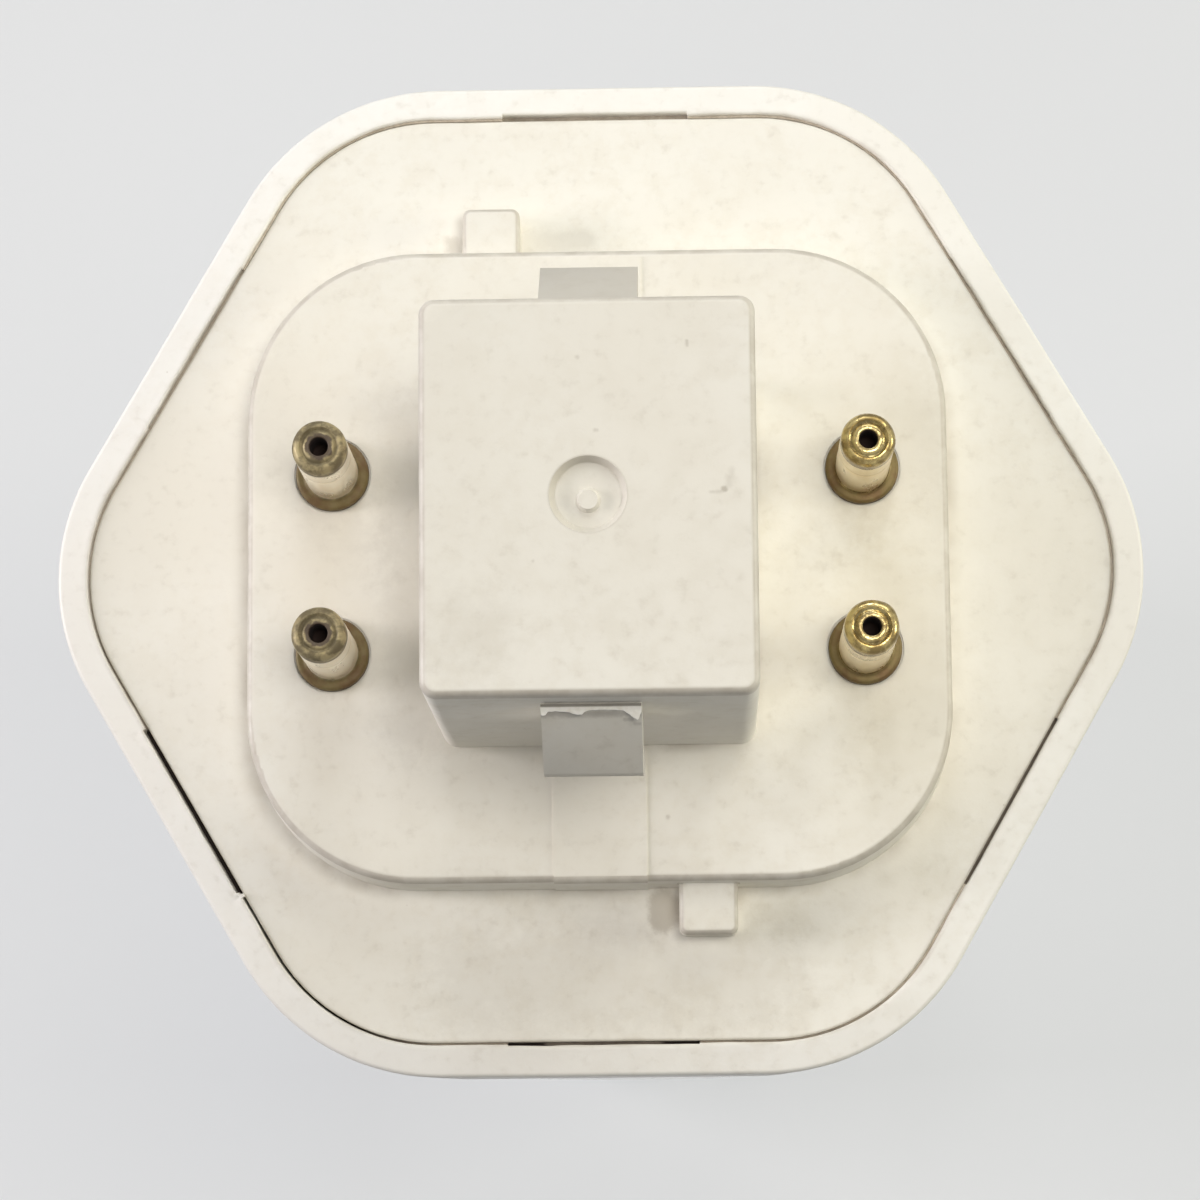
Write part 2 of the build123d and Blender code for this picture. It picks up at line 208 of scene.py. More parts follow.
class Paint:
    """One procedural material, built node by node. Its coordinates are millimetres on the object."""

    def __init__(self, name):
        self.material = bpy.data.materials.new(name)
        self.material.use_nodes = True
        self.tree = self.material.node_tree
        self.tree.nodes.clear()
        self.output = self.add("ShaderNodeOutputMaterial")
        self.shader = self.add("ShaderNodeBsdfPrincipled")
        self.tree.links.new(self.shader.outputs["BSDF"], self.output.inputs["Surface"])
        spot = self.add("ShaderNodeTexCoord").outputs["Object"]
        grow = self.add("ShaderNodeVectorMath", operation="SCALE")
        self.tree.links.new(spot, grow.inputs["Vector"])
        grow.inputs["Scale"].default_value = 1 / MM
        self.place = grow.outputs["Vector"]
        self.axes = None

    def add(self, kind, **settings):
        node = self.tree.nodes.new(kind)
        for name, value in settings.items():
            setattr(node, name, value)
        return node

    def feed(self, socket, value):
        """Links value to the socket if it is an output, and sets it if it is a number or a colour."""
        if isinstance(value, bpy.types.NodeSocket):
            self.tree.links.new(value, socket)
        elif hasattr(value, "__len__") and len(value) == 3 and socket.type == "RGBA":
            socket.default_value = (*value, 1.0)
        else:
            socket.default_value = value

    def set(self, **inputs):
        """Sets or links the shader's inputs, with _ for a space in their names."""
        for name, value in inputs.items():
            self.feed(self.shader.inputs[name.replace("_", " ")], value)

    def math(self, operation, first, second=0.0):
        node = self.add("ShaderNodeMath", operation=operation)
        self.feed(node.inputs[0], first)
        self.feed(node.inputs[1], second)
        return node.outputs[0]

    def times(self, first, second):
        return self.math("MULTIPLY", first, second)

    def minus(self, first, second):
        return self.math("SUBTRACT", first, second)

    def larger(self, first, second):
        return self.math("MAXIMUM", first, second)

    def length(self, x, y):
        """Length of the offset (x, y)."""
        return self.math("SQRT", self.math("ADD", self.times(x, x), self.times(y, y)))

    def xyz(self):
        """The three coordinates, in millimetres."""
        if self.axes is None:
            split = self.add("ShaderNodeSeparateXYZ")
            self.tree.links.new(self.place, split.inputs[0])
            self.axes = split.outputs
        return self.axes

    def stretched(self, scale, offset=(0, 0, 0)):
        """The coordinates, scaled per axis and moved."""
        node = self.add("ShaderNodeMapping")
        self.tree.links.new(self.place, node.inputs["Vector"])
        node.inputs["Scale"].default_value = scale
        node.inputs["Location"].default_value = offset
        return node.outputs["Vector"]

    def noise(self, per_mm, detail=3.0, roughness=0.5, offset=0.0, stretch=(1, 1, 1)):
        """Noise from 0 to 1 with per_mm features to a millimetre."""
        node = self.add("ShaderNodeTexNoise")
        spot = self.stretched(stretch, (offset, offset / 2, -offset))
        self.tree.links.new(spot, node.inputs["Vector"])
        node.inputs["Scale"].default_value = per_mm
        node.inputs["Detail"].default_value = detail
        node.inputs["Roughness"].default_value = roughness
        return node.outputs["Fac"]

    def band(self, value, low, high, start=0.0, end=1.0, smooth=True):
        """start below low, end above high, and between them a ramp."""
        node = self.add("ShaderNodeMapRange")
        node.interpolation_type = "SMOOTHSTEP" if smooth else "LINEAR"
        self.feed(node.inputs["Value"], value)
        node.inputs["From Min"].default_value = low
        node.inputs["From Max"].default_value = high
        node.inputs["To Min"].default_value = start
        node.inputs["To Max"].default_value = end
        return node.outputs["Result"]

    def mix(self, factor, first, second):
        node = self.add("ShaderNodeMix", data_type="RGBA")
        node.clamp_factor = True
        self.feed(node.inputs["Factor"], factor)
        colours = [socket for socket in node.inputs if socket.type == "RGBA"]
        self.feed(colours[0], first)
        self.feed(colours[1], second)
        return [socket for socket in node.outputs if socket.type == "RGBA"][0]

    def bump(self, height, distance, strength=1.0, over=None):
        """Bumps of that height in millimetres. over is a normal that they add to."""
        node = self.add("ShaderNodeBump")
        node.inputs["Strength"].default_value = strength
        node.inputs["Distance"].default_value = distance * MM
        self.feed(node.inputs["Height"], height)
        if over is not None:
            self.tree.links.new(over, node.inputs["Normal"])
        return node.outputs["Normal"]

    def specks(self, per_mm, size, share, offset=0.0):
        """Sparse round dots, 1 inside and 0 outside: size in millimetres, on a share of the cells."""
        node = self.add("ShaderNodeTexVoronoi", feature="F1")
        self.tree.links.new(self.stretched((1, 1, 1), (offset, -offset, offset)), node.inputs["Vector"])
        node.inputs["Scale"].default_value = per_mm
        near = self.band(node.outputs["Distance"], size * per_mm * 0.5, size * per_mm, 1.0, 0.0)
        split = self.add("ShaderNodeSeparateColor")
        self.tree.links.new(node.outputs["Color"], split.inputs[0])
        chosen = self.math("LESS_THAN", split.outputs[0], share)
        return self.times(near, chosen)

    def rounded_box(self, half, corner, centre=(0.0, 0.0)):
        """Distance in millimetres outside an upright rounded box, negative inside it."""
        sides = []
        for axis in (0, 1):
            from_centre = self.minus(self.xyz()[axis], centre[axis])
            sides.append(self.minus(self.math("ABSOLUTE", from_centre), half[axis] - corner))
        outside = [self.larger(side, 0.0) for side in sides]
        reach = self.length(*outside)
        inside = self.math("MINIMUM", self.larger(sides[0], sides[1]), 0.0)
        return self.minus(self.math("ADD", reach, inside), corner)

    def around(self, centre):
        """Offsets in x and y from an upright line at centre, and the distance from it."""
        across = [self.minus(self.xyz()[axis], centre[axis]) for axis in (0, 1)]
        return across, self.length(*across)

    def hexagon(self, half, corner):
        """Distance in millimetres outside a rounded hexagon with flats at +Y and -Y."""
        cosine = math.cos(math.radians(30))
        x = self.math("ABSOLUTE", self.xyz()[0])
        y = self.math("ABSOLUTE", self.xyz()[1])
        fold = self.minus(self.times(y, 0.5), self.times(x, cosine))
        fold = self.times(self.math("MINIMUM", fold, 0.0), 2.0)
        x = self.math("ADD", x, self.times(fold, cosine))
        y = self.minus(y, self.times(fold, 0.5))
        straight = (half - corner) * math.tan(math.radians(30))
        past = self.larger(self.minus(self.math("ABSOLUTE", x), straight), 0.0)
        rise = self.minus(y, half - corner)
        reach = self.times(self.length(past, rise), self.math("SIGN", rise))
        return self.minus(reach, corner)

    def patch(self, centre, half, blur, ragged, rough):
        """1 inside a soft, ragged patch seen from above, 0 outside it. rough is the noise at its edge."""
        away = self.rounded_box(half, min(half), centre)
        away = self.math("ADD", away, self.times(self.minus(rough, 0.5), ragged))
        return self.band(away, -blur, blur, 1.0, 0.0)


def gathered_dirt_and_shade(paint, seed):
    """Dirt with painted shade round the feet of the platform, the post and the keys, and along the seam, in
    patches.
    """
    patchy = paint.band(paint.noise(0.35, detail=4.0, offset=seed + 3), 0.38, 0.72, 0.15, 1.0)
    low = paint.band(paint.xyz()[2], PLATE_Z + 0.1, PLATE_Z + 0.8, 1.0, 0.0)
    edges = []
    for half, corner, centre in DIRT_AND_SHADE_OUTLINES:
        away = paint.math("ABSOLUTE", paint.rounded_box(half, corner, centre))
        edges.append(paint.times(paint.band(away, 0.0, 0.7, 1.0, 0.0), low))
    post_away = paint.math("ABSOLUTE", paint.rounded_box(POST_HALF, POST_CORNER))
    at_seat = paint.band(paint.xyz()[2], 0.05, 0.6, 1.0, 0.0)
    edges.append(paint.times(paint.band(post_away, 0.0, 0.5, 1.0, 0.0), at_seat))
    seam_away = paint.math("ABSOLUTE", paint.hexagon(SEAM_HALF, SEAM_CORNER))
    edges.append(paint.band(seam_away, 0.05, 0.3, 1.0, 0.0))
    dirt = edges[0]
    for edge in edges[1:]:
        dirt = paint.larger(dirt, edge)
    return paint.times(dirt, patchy)


def grey_edge_lines(paint, seed):
    """How far the edges of the platform, the post and the keys are painted grey, in patches."""
    grey_edges = None
    for half, corner, centre, top, depth, inset in GREY_EDGE_OUTLINES:
        away = paint.rounded_box(half, corner, centre)
        near = paint.band(paint.math("ABSOLUTE", away), 0.3, 0.5, 1.0, 0.0)
        near = paint.times(near, paint.band(away, 0.06, 0.12, 1.0, 0.0))
        drop = paint.minus(top, paint.xyz()[2])
        below = paint.band(drop, 0.0, 0.03)
        below = paint.larger(below, paint.band(away, -inset - 0.05, -inset + 0.05))
        below = paint.times(below, paint.math("LESS_THAN", paint.xyz()[2], top + 0.05))
        above = paint.band(drop, depth, depth * 1.3, 1.0, 0.0)
        line = paint.times(paint.times(near, below), above)
        grey_edges = line if grey_edges is None else paint.larger(grey_edges, line)
    worn = paint.noise(0.8, detail=4.0, roughness=0.6, offset=seed + 17)
    return paint.times(grey_edges, paint.band(worn, 0.35, 0.65, 0.42, 0.72))


def stained_and_shaded(paint, colour, marks, seed):
    """Stains, scuffs, and painted shade and shadows: centre, half size, lowest and highest z, blur, strength
    and colour.
    """
    edge_noise = paint.noise(1.6, detail=4.0, roughness=0.7, offset=seed)
    for centre, half, floor_z, roof_z, blur, strength, tint in marks:
        mark_mask = paint.patch(centre, half, blur, 3.0 * blur, edge_noise)
        mark_mask = paint.times(mark_mask, paint.math("GREATER_THAN", paint.xyz()[2], floor_z))
        mark_mask = paint.times(mark_mask, paint.math("LESS_THAN", paint.xyz()[2], roof_z))
        colour = paint.mix(paint.times(mark_mask, strength), colour, tint)
    return colour


def shade_ringed(paint, colour, rings):
    """Round lines of painted shade, heavier towards the upper left: centre, radius, half width, lowest z,
    strength and colour.
    """
    for centre, radius, half_width, floor_z, strength, tint in rings:
        across, reach = paint.around(centre)
        near = paint.math("ABSOLUTE", paint.minus(reach, radius))
        near = paint.band(near, half_width * 0.4, half_width, 1.0, 0.0)
        near = paint.times(near, paint.math("GREATER_THAN", paint.xyz()[2], floor_z))
        shaded_side = paint.band(paint.minus(across[1], across[0]), -radius, radius, 0.6, 1.0)
        line = paint.times(paint.times(near, shaded_side), strength)
        colour = paint.mix(line, colour, tint)
    return colour


def specked(paint, colour, grime_and_shade, seed):
    """Specks of dust and burnt grains."""
    small = paint.specks(0.55, 0.07, 0.3, offset=seed)
    large = paint.specks(0.16, 0.13, 0.22, offset=seed + 11)
    spots = paint.larger(paint.times(small, 0.35), paint.times(large, 0.4))
    return paint.mix(spots, colour, grime_and_shade)


def moulded_plastic(name, light, dark, grime_and_shade, seed, marks=(), rings=()):
    """Cream moulded plastic: uneven yellowing, fine mould texture, dirt with painted shade, grey edge lines,
    stains, scuffs, and painted shade and shadows.
    """
    paint = Paint(name)
    tone = paint.noise(0.07, detail=4.0, roughness=0.55, offset=seed)
    colour = paint.mix(paint.band(tone, 0.35, 0.7), light, dark)
    mottle = paint.noise(0.9, detail=5.0, roughness=0.65, offset=seed + 7)
    colour = paint.mix(paint.band(mottle, 0.4, 0.68, 0.0, 0.7), colour, dark)
    dusty = paint.noise(1.9, detail=3.0, roughness=0.55, offset=seed + 31)
    dusty = paint.times(paint.band(dusty, 0.5, 0.8), paint.band(mottle, 0.4, 0.6, 0.04, 0.17))
    colour = paint.mix(dusty, colour, grime_and_shade)
    # Dirt and painted shade at the feet of the platform, the post and the keys, and along the seam
    colour = paint.mix(paint.times(gathered_dirt_and_shade(paint, seed), DIRT_AND_SHADE_STRENGTH), colour, grime_and_shade)
    # Grey lines painted along the edges of the platform, the post and the keys
    colour = paint.mix(grey_edge_lines(paint, seed), colour, EDGE_GREY)
    # Stains, scuffs, and painted shade and shadows on the cap
    colour = stained_and_shaded(paint, colour, marks, seed)
    # Painted shade round the post's dimple
    colour = shade_ringed(paint, colour, rings)
    colour = specked(paint, colour, grime_and_shade, seed)
    roughness = paint.band(mottle, 0.3, 0.75, 0.4, 0.56)
    grain = paint.noise(4.5, detail=3.0, roughness=0.6, offset=seed)
    wave = paint.noise(0.22, detail=2.0, offset=seed + 5)
    normal = paint.bump(wave, 0.05, strength=0.5)
    normal = paint.bump(grain, 0.012, strength=0.5, over=normal)
    paint.set(Base_Color=colour, Roughness=roughness, Normal=normal)
    paint.set(IOR=1.49)
    return paint.material


def tip_colour(paint, dull, height, reach, patches, seed):
    """Colour of a pin's tip, and where the ragged dark crust round its hole is."""
    pale = paint.mix(dull, *TIP_PALE)
    tarnish = paint.mix(dull, *TIP_TARNISH)
    colour = paint.mix(paint.band(patches, 0.38, 0.62), tarnish, pale)
    at_tip = paint.math("GREATER_THAN", height, PIN_TOP_Z - 0.4)
    groove = paint.times(paint.band(reach, 0.6, 0.66), paint.band(reach, 0.76, 0.84, 1.0, 0.0))
    groove = paint.times(groove, at_tip)
    colour = paint.mix(paint.times(groove, 0.45), colour, GROOVE_DIRT)
    ragged = paint.minus(paint.noise(2.6, detail=4.0, offset=seed + 23), 0.5)
    ragged = paint.math("ADD", reach, paint.times(ragged, 0.5))
    crust = paint.times(paint.band(ragged, 0.5, 0.62, 1.0, 0.0), at_tip)
    crust = paint.times(crust, paint.band(dull, 0.1, 0.9, 0.3, 0.95))
    return paint.mix(crust, colour, CRUST), crust


def shank_colour(paint, colour, dull, wavy, shank, streaks):
    """The nearly clean shank over that colour, its pale cream partly a painted reflection of the cream
    plastic round it, with a painted shadow below the tip.
    """
    bright = paint.mix(dull, *SHANK_BRIGHT)
    worn = paint.mix(dull, *SHANK_WORN)
    colour = paint.mix(shank, colour, paint.mix(paint.band(streaks, 0.4, 0.75), bright, worn))
    # Painted shadow under the tip
    from_line = paint.math("ABSOLUTE", paint.minus(wavy, UNDER_TIP_Z))
    under_tip_shadow = paint.band(from_line, 0.05, 0.2, 1.0, 0.0)
    return paint.mix(paint.times(under_tip_shadow, 0.5), colour, UNDER_TIP_SHADOW)


def tarnished_brass(name, centre, dull, seed):
    """Rolled brass with a grey-olive tarnish, a bright shank and a dark hole in the tip.

    dull runs from 0, a pin that still shines, to 1.
    """
    paint = Paint(name)
    height = paint.xyz()[2]
    reach = paint.around(centre)[1]
    patches = paint.noise(1.7, detail=4.0, roughness=0.6, offset=seed)
    colour, crust = tip_colour(paint, dull, height, reach, patches, seed)
    wavy = paint.math("ADD", height, paint.times(patches, 0.4))
    shank = paint.times(paint.band(wavy, *SHANK_FOOT), paint.band(wavy, *SHANK_TOP, 1.0, 0.0))
    streaks = paint.noise(1.1, detail=3.0, offset=seed + 4, stretch=(1.0, 1.0, 0.4))
    colour = shank_colour(paint, colour, dull, wavy, shank, streaks)
    # Flange: olive-brown, darkest at its foot
    on_flange = paint.band(height, 0.34, 0.6, 1.0, 0.0)
    rusty = paint.noise(1.1, detail=4.0, roughness=0.6, offset=seed + 15)
    brown = paint.mix(paint.band(rusty, 0.38, 0.62), FLANGE_OLIVE, FLANGE_RUST)
    colour = paint.mix(paint.times(on_flange, 0.94), colour, brown)
    # Darker at the flange's foot and along the turned line
    foot = paint.band(height, 0.0, 0.2, 1.0, 0.0)
    from_line = paint.math("ABSOLUTE", paint.minus(height, PIN_LINE_Z))
    line = paint.band(from_line, 0.02, 0.08, 1.0, 0.0)
    dirt = paint.larger(paint.times(foot, 0.75), paint.times(line, 0.25))
    colour = paint.mix(dirt, colour, PIN_DARKENING)
    # Hole: dark all the way down
    hole = paint.times(paint.band(reach, *HOLE_EDGE, 1.0, 0.0), paint.band(height, 4.0, 4.5))
    hole = paint.times(hole, paint.band(height, PIN_TOP_Z - 0.14, PIN_TOP_Z - 0.03, 1.0, 0.0))
    colour = paint.mix(hole, colour, HOLE_DARK)
    # Metal and roughness: duller with tarnish and the darker foot and line, bright on the shank
    shine = paint.minus(0.9, dull)
    metal = paint.band(shine, 0.0, 0.75, 0.3, 0.95, smooth=False)
    metal = paint.times(metal, paint.band(paint.larger(dirt, crust), 0.0, 0.7, 1.0, 0.3))
    metal = paint.times(metal, paint.band(on_flange, 0.0, 1.0, 1.0, 0.4))
    metal = paint.larger(metal, paint.times(shank, 0.88))
    metal = paint.times(metal, paint.minus(1.0, hole))
    rough = paint.band(shine, 0.0, 0.75, 0.54, 0.2, smooth=False)
    rough = paint.math("ADD", rough, paint.band(patches, 0.3, 0.7, 0.12, -0.04))
    rough = paint.larger(rough, paint.times(on_flange, 0.48))
    rough = paint.mix(shank, rough, paint.band(streaks, 0.3, 0.7, 0.26, 0.36))
    rough = paint.larger(rough, paint.times(hole, 0.95))
    fine = paint.noise(9.0, detail=2.0, offset=seed)
    lumps = paint.noise(1.3, detail=3.0, offset=seed + 9)
    steady = paint.minus(1.0, paint.times(shank, 0.85))
    normal = paint.bump(paint.times(lumps, steady), 0.09, strength=0.7)
    fine = paint.times(fine, steady)
    paint.set(Base_Color=colour, Metallic=metal, Roughness=rough)
    paint.set(Normal=paint.bump(fine, 0.012, strength=0.5, over=normal))
    return paint.material


def packed_dirt_and_shade(name):
    """Brown dust packed in the seam: pale where it is nearly flush, and painted dark as painted shade where
    it lies deep.
    """
    paint = Paint(name)
    grains = paint.noise(3.0, detail=5.0, roughness=0.7)
    # Painted shade: darker the deeper the dust lies
    flush = paint.band(paint.xyz()[2], -3.5, -2.86, smooth=False)
    pale = paint.mix(paint.band(grains, 0.35, 0.65), (0.66, 0.59, 0.5), (0.54, 0.47, 0.38))
    colour = paint.mix(flush, (0.045, 0.033, 0.028), pale)
    paint.set(Base_Color=colour, Roughness=0.95, Normal=paint.bump(grains, 0.04, strength=0.6))
    return paint.material


def flash_painted_light(name):
    """Thin bright flash, painted paler than the cream plastic as painted light, mottled, with painted shade
    where it comes out of the wall.
    """
    paint = Paint(name)
    mottle = paint.noise(2.5, detail=4.0, roughness=0.6)
    # Painted light: paler than the cap's cream
    colour = paint.mix(paint.band(mottle, 0.4, 0.65), (0.97, 0.965, 0.93), (0.88, 0.865, 0.81))
    # Painted shade where the flash comes out of the post's wall
    inner = paint.band(paint.xyz()[1], -8.05, -7.98)
    colour = paint.mix(paint.times(inner, 0.8), colour, (0.16, 0.14, 0.11))
    paint.set(Base_Color=colour, Roughness=0.45, Normal=paint.bump(mottle, 0.02, strength=0.6))
    return paint.material


def coated_glass(name):
    """Clear glass over a white inner coating, greyed by use near the seals of the legs towards +Y."""
    paint = Paint(name)
    cloud = paint.noise(0.12, detail=4.0, offset=2)
    colour = paint.mix(paint.band(cloud, 0.35, 0.7), (0.93, 0.93, 0.91), (0.9, 0.905, 0.89))
    streaks = paint.noise(0.5, detail=3.0, offset=9, stretch=(1, 1, 0.06))
    colour = paint.mix(paint.band(streaks, 0.55, 0.85, 0.0, 0.25), colour, (0.84, 0.85, 0.84))
    used = paint.times(paint.band(paint.xyz()[2], *USED_Z), paint.band(paint.xyz()[1], *USED_Y))
    colour = paint.mix(paint.times(used, 0.35), colour, (0.55, 0.53, 0.5))
    roughness = paint.band(cloud, 0.3, 0.8, 0.3, 0.45)
    wave = paint.noise(0.25, detail=2.0, offset=5)
    paint.set(Base_Color=colour, Roughness=roughness, Normal=paint.bump(wave, 0.04, strength=0.4))
    paint.set(Coat_Weight=1.0, Coat_Roughness=0.04, IOR=1.5)
    return paint.material


def tinned_wire(name):
    """Dull tinned wire."""
    paint = Paint(name)
    patches = paint.noise(2.0, detail=3.0)
    colour = paint.mix(paint.band(patches, 0.35, 0.7), (0.62, 0.6, 0.57), (0.45, 0.43, 0.41))
    paint.set(Base_Color=colour, Metallic=1.0, Roughness=paint.band(patches, 0.3, 0.7, 0.25, 0.45))
    paint.set(Normal=paint.bump(paint.noise(8.0), 0.01, strength=0.4))
    return paint.material


def cast_cement(name):
    """Pale grainy cement."""
    paint = Paint(name)
    grains = paint.noise(2.5, detail=5.0, roughness=0.7)
    colour = paint.mix(paint.band(grains, 0.35, 0.7), (0.8, 0.79, 0.75), (0.68, 0.66, 0.61))
    paint.set(Base_Color=colour, Roughness=0.85, Normal=paint.bump(grains, 0.08, strength=0.6))
    return paint.material


def dress(node_name, material):
    """Gives a CAD node its material."""
    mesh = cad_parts[node_name].data
    mesh.materials.clear()
    mesh.materials.append(material)


# Pieces

def keep_creases(shape, crease):
    """Edges sharper than crease, in degrees, stay sharp, and the others are shaded smoothly."""
    for edge in shape.edges:
        edge.smooth = len(edge.link_faces) == 2 and edge.calc_face_angle(0.0) < math.radians(crease)


def finish_piece(name, shape, material, crease):
    """Turns the bmesh into an object that rides on the bulb. Edges sharper than crease stay sharp."""
    bmesh.ops.recalc_face_normals(shape, faces=shape.faces)
    for face in shape.faces:
        face.smooth = True
    keep_creases(shape, crease)
    mesh = bpy.data.meshes.new(name)
    shape.to_mesh(mesh)
    shape.free()
    mesh.materials.append(material)
    piece = placed(name, mesh)
    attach(piece, BODY)
    return piece


def add_ring(shape, points):
    """Adds a ring of vertices at these points, given in millimetres."""
    return [shape.verts.new(Vector(point) * MM) for point in points]


def join_rings(shape, first, second, closed=True):
    """Quads between two rings with the same number of vertices."""
    count = len(first)
    for index in range(count if closed else count - 1):
        after = (index + 1) % count
        shape.faces.new((first[index], first[after], second[after], second[index]))


def wander(x, y, z, per_mm, seed):
    """Smooth noise from -1 to 1 at a place in millimetres."""
    return noise.noise(Vector((x * per_mm + seed, y * per_mm - seed, z * per_mm)))


def hexagon_ring(half, corner, z, stations, shift=None):
    """Rounded hexagon at height z. stations are places along each side, in millimetres from its middle.

    shift, where given, is a function of the side, the station and z that moves the side outwards there.
    """
    points = []
    for side in range(6):
        angle = math.radians(30 + 60 * side)
        out = Vector((math.cos(angle), math.sin(angle)))
        along = Vector((-math.sin(angle), math.cos(angle)))
        for station in stations:
            reach = half + (shift(side, station, z) if shift else 0.0)
            place = out * reach + along * station
            points.append((place.x, place.y, z))
        turn = angle + math.radians(30)
        centre = Vector((math.cos(turn), math.sin(turn))) * (half - corner) / math.cos(math.radians(30))
        for step in range(CORNER_STEPS + 1):
            bend = turn + math.radians(-30 + 60 * step / CORNER_STEPS)
            points.append((centre.x + corner * math.cos(bend), centre.y + corner * math.sin(bend), z))
    return points


def quarter(step, steps):
    """Cosine and sine of that step of a quarter turn."""
    bend = math.radians(90 * step / steps)
    return math.cos(bend), math.sin(bend)


def mirrored(stations):
    """The stations on both sides of the middle, in order along the side."""
    return [-station for station in reversed(stations)] + [0.0] + list(stations)


def housing_shift(side, station, z):
    """How far the cavity's wall stands out at a slot or pocket of a snap hook, or in at a rib or burr."""
    where = abs(station)
    wall = RIM_INNER_HALF - (RIM_Z - z) * DRAFT
    if side == BURR_SIDE and BURR_START < station < BURR_END and z > BURR_FOOT_Z:
        return -SEAM_GAP
    if where < SLOT_HALF and z > SLOT_FOOT_Z:
        return SLOT_DEPTHS[side]
    if where < SLOT_HALF and POCKET_FOOT_Z < z < POCKET_TOP_Z:
        return POCKET_REACH - wall
    if abs(where - RIB_MIDDLE) < RIB_HALF and RIB_FOOT_Z < z < RIB_TOP_Z:
        rise = (z - RIB_FOOT_Z) / (RIB_TOP_Z - RIB_FOOT_Z)
        inner = RIM_INNER_HALF - (RIM_Z - RIB_TOP_Z) * DRAFT - RIB_PROUD + RIB_TAPER * (1 - rise)
        return inner - wall
    return 0.0


def uneven(x, y, z):
    """A place on the housing, moved a little as moulding and handling leave it."""
    reach = math.hypot(x, y)
    close = max(0.0, 1 - abs(z - RIM_Z) / RAGGED_DEPTH)
    ragged = close * RAGGED * wander(x, y, z, 1.1, 9.0)
    if reach > OUTER_EDGE_REACH:
        ragged *= RAGGED_OUTSIDE
    factor = 1 + (WAVE * wander(x, y, z, 0.12, 3.0) - WAVE_INSET + ragged) / reach
    dip = close * RIM_DIP * (wander(x, y, 0.0, 0.5, 5.0) - 1) if z > RIM_Z - RIM_DIP_DEPTH else 0.0
    return x * factor, y * factor, z + dip


def rim_stations():
    """Places along a side, close together at the ends of its slot, its burr and its ribs."""
    return mirrored([
        0.6, 1.2, 1.8, 2.4, 3.0, 3.6, 4.08, 4.12, 4.22, 4.24,
        4.38, 4.4, 4.7, 5.2, 5.68, 5.72, 6.2, 6.68, 6.72,
    ])


def housing_rings():
    """Rings of the cup from its floor inside, over the rim, down to the foot outside."""
    stations = rim_stations()
    levels = [TUBE_PLATE_Z, -20.0, -16.0, RIB_FOOT_Z - 2.6, POCKET_FOOT_Z - 0.02, POCKET_FOOT_Z + 0.02]
    levels += [RIB_FOOT_Z - 0.02, RIB_FOOT_Z + 0.02, -11.0, POCKET_TOP_Z - 0.02, POCKET_TOP_Z + 0.02]
    levels += [SLOT_FOOT_Z - 0.02, SLOT_FOOT_Z + 0.02, -6.5, RIB_TOP_Z - 0.02, RIB_TOP_Z + 0.02]
    levels += [-4.0, -3.3, -2.99, -2.97, -2.8, RIM_Z - SEAM_ROUND]
    rings = []
    for z in levels:
        fall = (RIM_Z - z) * DRAFT
        half, corner = RIM_INNER_HALF - fall, RIM_INNER_CORNER - fall
        rings.append(hexagon_ring(half, corner, z, stations, housing_shift))
    # A small round at the seam, the flat, and the outer round
    for step in range(1, 5):
        cosine, sine = quarter(step, 4)
        out = SEAM_ROUND * (1 - cosine)
        rise = RIM_Z - SEAM_ROUND * (1 - sine)
        half, corner = RIM_INNER_HALF + out, RIM_INNER_CORNER + out
        rings.append(hexagon_ring(half, corner, rise, stations, housing_shift))
    span = RIM_HALF - RIM_ROUND - RIM_INNER_HALF - SEAM_ROUND
    spread = RIM_CORNER - RIM_ROUND - RIM_INNER_CORNER - SEAM_ROUND
    for share in (0.12, 0.24, 0.36, 0.5, 0.7, 0.85, 0.97):
        half = RIM_INNER_HALF + SEAM_ROUND + span * share
        corner = RIM_INNER_CORNER + SEAM_ROUND + spread * share
        shift = housing_shift if share < 0.2 else None
        rings.append(hexagon_ring(half, corner, RIM_Z - RIM_FALL * share, stations, shift))
    for step in range(8):
        cosine, sine = quarter(step, 7)
        inset = RIM_ROUND * (1 - sine)
        drop = RIM_FALL + RIM_ROUND * (1 - cosine)
        rings.append(hexagon_ring(RIM_HALF - inset, RIM_CORNER - inset, RIM_Z - drop, stations))
    # Outer wall, then the round at its foot
    for z in (-3.0, -3.15, -3.4, -4.0, -5.0, -7.0, -9.5, -12.0, -15.0, -18.0, -21.0, -23.0, -23.75):
        fall = (RIM_Z - z) * DRAFT
        rings.append(hexagon_ring(RIM_HALF - fall, RIM_CORNER - fall, z, stations))
    fall = (RIM_Z - HOUSING_FOOT_Z) * DRAFT
    for step in range(9):
        cosine, sine = quarter(step, 8)
        inset = fall + FOOT_ROUND * (1 - cosine)
        rise = HOUSING_FOOT_Z + FOOT_ROUND * (1 - sine)
        rings.append(hexagon_ring(RIM_HALF - inset, RIM_CORNER - inset, rise, stations))
    return rings


